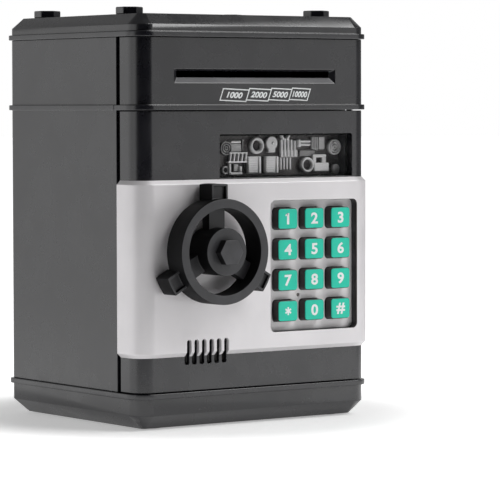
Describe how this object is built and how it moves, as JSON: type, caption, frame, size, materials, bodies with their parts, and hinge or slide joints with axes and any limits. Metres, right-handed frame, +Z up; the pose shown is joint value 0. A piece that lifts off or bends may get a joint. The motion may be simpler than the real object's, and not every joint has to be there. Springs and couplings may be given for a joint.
{
  "type": "toy cash machine savings bank",
  "caption": "Toy safe-style savings bank with a code keypad, a vault wheel that throws the door's latch, a motor-fed note slot and a coin slot in its lid.",
  "frame": {"origin": "centre of the base tray's underside, half a millimetre above the surface the rubber feet rest on", "axes": "+X to the object's right as seen from its front, +Y from the front to the back, +Z up"},
  "size_m": [0.134, 0.1335, 0.1905],
  "materials": {
    "black_plastic": "fine satin moulded plastic",
    "silver_paint": "satin silver paint over plastic",
    "wheel_plastic": "satin moulded plastic",
    "key_teal": "satin teal plastic with white figures",
    "key_dark": "dark moulded plastic",
    "clear_pane": "clear styrene",
    "relief_grey": "satin grey paint over plastic",
    "rubber": "matt rubber",
    "steel": "bright zinc plate",
    "gear_nylon": "natural nylon",
    "frame_plastic": "moulded plastic",
    "board_green": "solder mask",
    "membrane_grey": "silicone",
    "copper_wire": "red insulation",
    "cell_wrap": "printed wrap",
    "lamp_red": "diffused lens"
  },
  "bodies": {
    "case": {"base_tray": "black_plastic", "rubber_feet": "rubber", "case_screws": "steel", "body_shell": "black_plastic", "front_top_panel": "black_plastic", "top_cover": "black_plastic", "corner_studs": "black_plastic", "coin_chute": "frame_plastic", "chamber_deck": "frame_plastic", "feeder_frame": "frame_plastic", "feeder_motor": "steel", "pinch_springs": "steel", "note_switch": "frame_plastic", "main_board": "board_green", "motor_leads": "copper_wire", "battery_box": "frame_plastic", "cells": "cell_wrap", "cell_contacts": "steel", "hinge_pins": "steel", "latch_strike": "steel"},
    "door": {"door_shell": "black_plastic", "silver_fascia": "silver_paint", "keypad_plate": "silver_paint", "window_pane": "clear_pane", "relief_insert": "relief_grey", "door_liner": "frame_plastic", "door_screws": "steel", "keypad_membrane": "membrane_grey", "keypad_board": "board_green", "speaker": "key_dark", "status_lamp": "lamp_red", "lock_solenoid": "steel", "plunger_spring": "steel"},
    "wheel": {"vault_wheel": "wheel_plastic", "hex_cap": "wheel_plastic", "wheel_shaft": "steel", "shaft_clip": "steel"},
    "bolt": {"latch_bolt": "steel"},
    "plunger": {"lock_plunger": "steel"},
    "drive_roller": {"drive_axle": "steel", "drive_rollers": "rubber"},
    "pinch_roller": {"pinch_axle": "steel", "pinch_rollers": "rubber"},
    "idler": {"idler_gear": "gear_nylon"},
    "pinion": {"motor_pinion": "gear_nylon"},
    "lever": {"switch_lever": "frame_plastic"},
    "hatch": {"battery_cover": "black_plastic", "cover_screw": "steel"},
    "button_1": {"key_1": "key_teal"},
    "button_2": {"key_2": "key_teal"},
    "button_3": {"key_3": "key_teal"},
    "button_4": {"key_4": "key_teal"},
    "button_5": {"key_5": "key_teal"},
    "button_6": {"key_6": "key_teal"},
    "button_7": {"key_7": "key_teal"},
    "button_8": {"key_8": "key_teal"},
    "button_9": {"key_9": "key_teal"},
    "button_star": {"key_star": "key_teal"},
    "button_0": {"key_0": "key_teal"},
    "button_hash": {"key_hash": "key_teal"}
  },
  "joints": [
    {"name": "door_hinge", "type": "hinge", "parent": "case", "child": "door", "pos_m": [0.062, -0.0444, 0.08], "axis": [0, 0, 1], "range_deg": [0, 110]},
    {"name": "wheel_turn", "type": "hinge", "parent": "door", "child": "wheel", "pos_m": [-0.0293, -0.06, 0.0797], "axis": [0, 1, 0], "range_deg": [-60, 0]},
    {"name": "bolt_slide", "type": "slide", "parent": "door", "child": "bolt", "axis": [1, 0, 0], "range_m": [-0.0051, 0]},
    {"name": "plunger_slide", "type": "slide", "parent": "door", "child": "plunger", "axis": [0, 0, 1], "range_m": [-0.004, 0], "stiffness_N_per_m": 200, "springref_m": 0.002, "deforming": ["plunger_spring"]},
    {"name": "roller_spin", "type": "hinge", "parent": "case", "child": "drive_roller", "pos_m": [0, -0.04, 0.1523], "axis": [1, 0, 0], "continuous": true},
    {"name": "pinch_spin", "type": "hinge", "parent": "case", "child": "pinch_roller", "pos_m": [0, -0.04, 0.16265], "axis": [1, 0, 0], "continuous": true},
    {"name": "idler_spin", "type": "hinge", "parent": "case", "child": "idler", "pos_m": [0, -0.02993, 0.16273], "axis": [1, 0, 0], "continuous": true},
    {"name": "pinion_spin", "type": "hinge", "parent": "case", "child": "pinion", "pos_m": [0, -0.01809, 0.16525], "axis": [1, 0, 0], "continuous": true},
    {"name": "lever_swing", "type": "hinge", "parent": "case", "child": "lever", "pos_m": [0.04, -0.032, 0.167], "axis": [1, 0, 0], "range_deg": [0, 20], "stiffness_Nm_per_rad": 0.0005, "springref_deg": -11.46},
    {"name": "hatch_hinge", "type": "hinge", "parent": "case", "child": "hatch", "pos_m": [0, 0.0541, 0.02135], "axis": [-1, 0, 0], "range_deg": [0, 75]},
    {"name": "press_1", "type": "slide", "parent": "door", "child": "button_1", "axis": [0, 1, 0], "range_m": [0, 0.0012], "stiffness_N_per_m": 250, "springref_m": -0.0008},
    {"name": "press_2", "type": "slide", "parent": "door", "child": "button_2", "axis": [0, 1, 0], "range_m": [0, 0.0012], "stiffness_N_per_m": 250, "springref_m": -0.0008},
    {"name": "press_3", "type": "slide", "parent": "door", "child": "button_3", "axis": [0, 1, 0], "range_m": [0, 0.0012], "stiffness_N_per_m": 250, "springref_m": -0.0008},
    {"name": "press_4", "type": "slide", "parent": "door", "child": "button_4", "axis": [0, 1, 0], "range_m": [0, 0.0012], "stiffness_N_per_m": 250, "springref_m": -0.0008},
    {"name": "press_5", "type": "slide", "parent": "door", "child": "button_5", "axis": [0, 1, 0], "range_m": [0, 0.0012], "stiffness_N_per_m": 250, "springref_m": -0.0008},
    {"name": "press_6", "type": "slide", "parent": "door", "child": "button_6", "axis": [0, 1, 0], "range_m": [0, 0.0012], "stiffness_N_per_m": 250, "springref_m": -0.0008},
    {"name": "press_7", "type": "slide", "parent": "door", "child": "button_7", "axis": [0, 1, 0], "range_m": [0, 0.0012], "stiffness_N_per_m": 250, "springref_m": -0.0008},
    {"name": "press_8", "type": "slide", "parent": "door", "child": "button_8", "axis": [0, 1, 0], "range_m": [0, 0.0012], "stiffness_N_per_m": 250, "springref_m": -0.0008},
    {"name": "press_9", "type": "slide", "parent": "door", "child": "button_9", "axis": [0, 1, 0], "range_m": [0, 0.0012], "stiffness_N_per_m": 250, "springref_m": -0.0008},
    {"name": "press_star", "type": "slide", "parent": "door", "child": "button_star", "axis": [0, 1, 0], "range_m": [0, 0.0012], "stiffness_N_per_m": 250, "springref_m": -0.0008},
    {"name": "press_0", "type": "slide", "parent": "door", "child": "button_0", "axis": [0, 1, 0], "range_m": [0, 0.0012], "stiffness_N_per_m": 250, "springref_m": -0.0008},
    {"name": "press_hash", "type": "slide", "parent": "door", "child": "button_hash", "axis": [0, 1, 0], "range_m": [0, 0.0012], "stiffness_N_per_m": 250, "springref_m": -0.0008}
  ],
  "couplings": [
    {"joint": "bolt_slide", "follows": "wheel_turn", "m_per_rad": 0.0048},
    {"joint": "pinch_spin", "follows": "roller_spin", "ratio": -1.5},
    {"joint": "idler_spin", "follows": "roller_spin", "ratio": -0.8},
    {"joint": "pinion_spin", "follows": "roller_spin", "ratio": 1.6}
  ]
}
